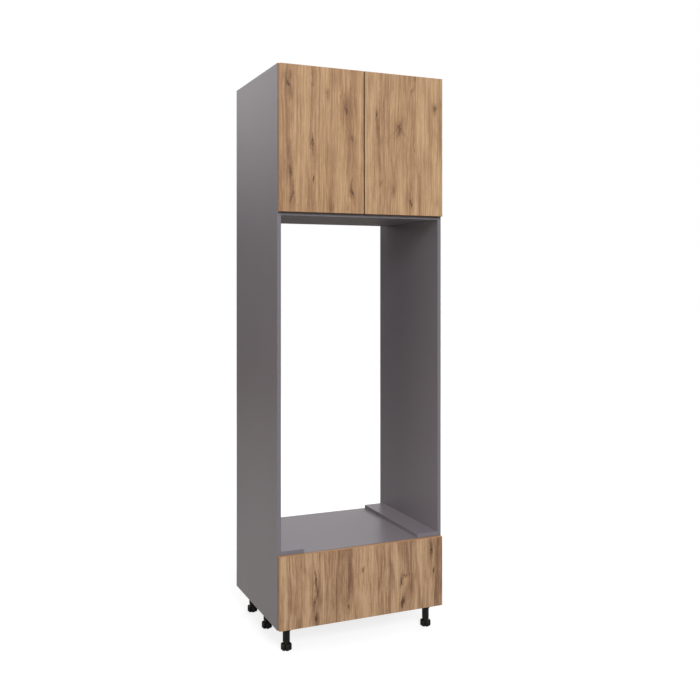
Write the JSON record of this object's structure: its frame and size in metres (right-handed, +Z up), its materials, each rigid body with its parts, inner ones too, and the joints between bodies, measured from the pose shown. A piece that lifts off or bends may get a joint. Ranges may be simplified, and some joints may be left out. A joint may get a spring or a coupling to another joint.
{
  "type": "tall oven housing unit",
  "caption": "Tall kitchen unit with an open oven niche, a two-door cupboard above, a deep drawer below and levelling screw legs; grey carcass, knotty oak fronts.",
  "frame": {"origin": "on the floor, under the middle of the unit's width and overall depth", "axes": "+Z up, the doors and the drawer face -Y, +X to the right as seen from the front"},
  "size_m": [0.762, 0.61, 2.422],
  "materials": {
    "grey_board": "grey melamine-faced chipboard, satin",
    "oak_decor": "knotty oak, fine grain, satin",
    "zinc_steel": "zinc-plated sheet and screws",
    "black_plastic": "moulded, matte",
    "beech": "bare turned beech",
    "soft_bumper": "soft translucent pad"
  },
  "bodies": {
    "carcass": {"left_side": "grey_board", "right_side": "grey_board", "top_panel": "grey_board", "niche_top_shelf": "grey_board", "niche_floor": "grey_board", "bottom_panel": "grey_board", "wall_rail": "grey_board", "upper_back_panel": "grey_board", "drawer_back_panel": "grey_board", "adjustable_shelf": "grey_board", "shelf_pins": "zinc_steel", "left_oven_strip": "grey_board", "right_oven_strip": "grey_board", "oven_strip_screws": "zinc_steel", "back_panel_screws": "zinc_steel", "cam_locks": "zinc_steel", "cam_bolts": "zinc_steel", "wood_dowels": "beech", "leg_bodies": "black_plastic", "leg_screws": "zinc_steel", "hinge_plates": "zinc_steel", "hinge_arms": "zinc_steel", "hinge_plate_screws": "zinc_steel", "hinge_adjusting_screws": "zinc_steel", "hinge_arm_pins": "zinc_steel", "runner_cabinet_profiles": "zinc_steel", "runner_cabinet_screws": "zinc_steel"},
    "left_inner_link_pair": {"left_inner_links": "zinc_steel"},
    "left_door_leaf": {"left_door": "oak_decor", "left_hinge_cups": "zinc_steel", "left_cup_screws": "zinc_steel", "left_cup_pins": "zinc_steel", "left_door_bumpers": "soft_bumper"},
    "left_outer_link_pair": {"left_outer_links": "zinc_steel"},
    "right_inner_link_pair": {"right_inner_links": "zinc_steel"},
    "right_door_leaf": {"right_door": "oak_decor", "right_hinge_cups": "zinc_steel", "right_cup_screws": "zinc_steel", "right_cup_pins": "zinc_steel", "right_door_bumpers": "soft_bumper"},
    "right_outer_link_pair": {"right_outer_links": "zinc_steel"},
    "drawer": {"drawer_front": "oak_decor", "drawer_left_side": "grey_board", "drawer_right_side": "grey_board", "drawer_box_front": "grey_board", "drawer_box_back": "grey_board", "drawer_bottom": "grey_board", "drawer_dowels": "beech", "drawer_screws": "zinc_steel", "drawer_bumpers": "soft_bumper", "runner_drawer_profiles": "zinc_steel"},
    "middle_profiles": {"runner_middle_profiles": "zinc_steel"},
    "outer_cages": {"outer_ball_cages": "zinc_steel"},
    "inner_cages": {"inner_ball_cages": "zinc_steel"},
    "front_left_foot_screw": {"front_left_foot": "black_plastic"},
    "middle_left_foot_screw": {"middle_left_foot": "black_plastic"},
    "rear_left_foot_screw": {"rear_left_foot": "black_plastic"},
    "front_right_foot_screw": {"front_right_foot": "black_plastic"},
    "middle_right_foot_screw": {"middle_right_foot": "black_plastic"},
    "rear_right_foot_screw": {"rear_right_foot": "black_plastic"}
  },
  "joints": [
    {"name": "left_inner_link_swing", "type": "hinge", "parent": "carcass", "child": "left_inner_link_pair", "pos_m": [-0.355, -0.285, 2.116], "axis": [0, 0, 1], "range_deg": [0, 34]},
    {"name": "left_door_swing", "type": "hinge", "parent": "left_inner_link_pair", "child": "left_door_leaf", "pos_m": [-0.3689, -0.2936, 2.116], "axis": [0, 0, -1], "range_deg": [0, 128.5]},
    {"name": "left_outer_link_swing", "type": "hinge", "parent": "carcass", "child": "left_outer_link_pair", "pos_m": [-0.3432, -0.2842, 2.116], "axis": [0, 0, 1], "range_deg": [0, 41]},
    {"name": "right_inner_link_swing", "type": "hinge", "parent": "carcass", "child": "right_inner_link_pair", "pos_m": [0.355, -0.285, 2.116], "axis": [0, 0, -1], "range_deg": [0, 34]},
    {"name": "right_door_swing", "type": "hinge", "parent": "right_inner_link_pair", "child": "right_door_leaf", "pos_m": [0.3689, -0.2936, 2.116], "axis": [0, 0, 1], "range_deg": [0, 128.5]},
    {"name": "right_outer_link_swing", "type": "hinge", "parent": "carcass", "child": "right_outer_link_pair", "pos_m": [0.3432, -0.2842, 2.116], "axis": [0, 0, -1], "range_deg": [0, 41]},
    {"name": "drawer_slide", "type": "slide", "parent": "carcass", "child": "drawer", "axis": [0, -1, 0], "range_m": [0, 0.48]},
    {"name": "middle_profile_slide", "type": "slide", "parent": "carcass", "child": "middle_profiles", "axis": [0, -1, 0], "range_m": [0, 0.241]},
    {"name": "outer_cage_slide", "type": "slide", "parent": "carcass", "child": "outer_cages", "axis": [0, -1, 0], "range_m": [0, 0.121]},
    {"name": "inner_cage_slide", "type": "slide", "parent": "carcass", "child": "inner_cages", "axis": [0, -1, 0], "range_m": [0, 0.361]},
    {"name": "front_left_foot_height", "type": "slide", "parent": "carcass", "child": "front_left_foot_screw", "axis": [0, 0, -1], "range_m": [-0.008, 0.015]},
    {"name": "middle_left_foot_height", "type": "slide", "parent": "carcass", "child": "middle_left_foot_screw", "axis": [0, 0, -1], "range_m": [-0.008, 0.015]},
    {"name": "rear_left_foot_height", "type": "slide", "parent": "carcass", "child": "rear_left_foot_screw", "axis": [0, 0, -1], "range_m": [-0.008, 0.015]},
    {"name": "front_right_foot_height", "type": "slide", "parent": "carcass", "child": "front_right_foot_screw", "axis": [0, 0, -1], "range_m": [-0.008, 0.015]},
    {"name": "middle_right_foot_height", "type": "slide", "parent": "carcass", "child": "middle_right_foot_screw", "axis": [0, 0, -1], "range_m": [-0.008, 0.015]},
    {"name": "rear_right_foot_height", "type": "slide", "parent": "carcass", "child": "rear_right_foot_screw", "axis": [0, 0, -1], "range_m": [-0.008, 0.015]}
  ],
  "couplings": [
    {"joint": "left_inner_link_swing", "follows": "left_door_swing", "ratio": 0.2609},
    {"joint": "left_outer_link_swing", "follows": "left_door_swing", "ratio": 0.31412},
    {"joint": "right_inner_link_swing", "follows": "right_door_swing", "ratio": 0.2609},
    {"joint": "right_outer_link_swing", "follows": "right_door_swing", "ratio": 0.31412},
    {"joint": "middle_profile_slide", "follows": "drawer_slide", "ratio": 0.5},
    {"joint": "outer_cage_slide", "follows": "drawer_slide", "ratio": 0.25},
    {"joint": "inner_cage_slide", "follows": "drawer_slide", "ratio": 0.75}
  ]
}
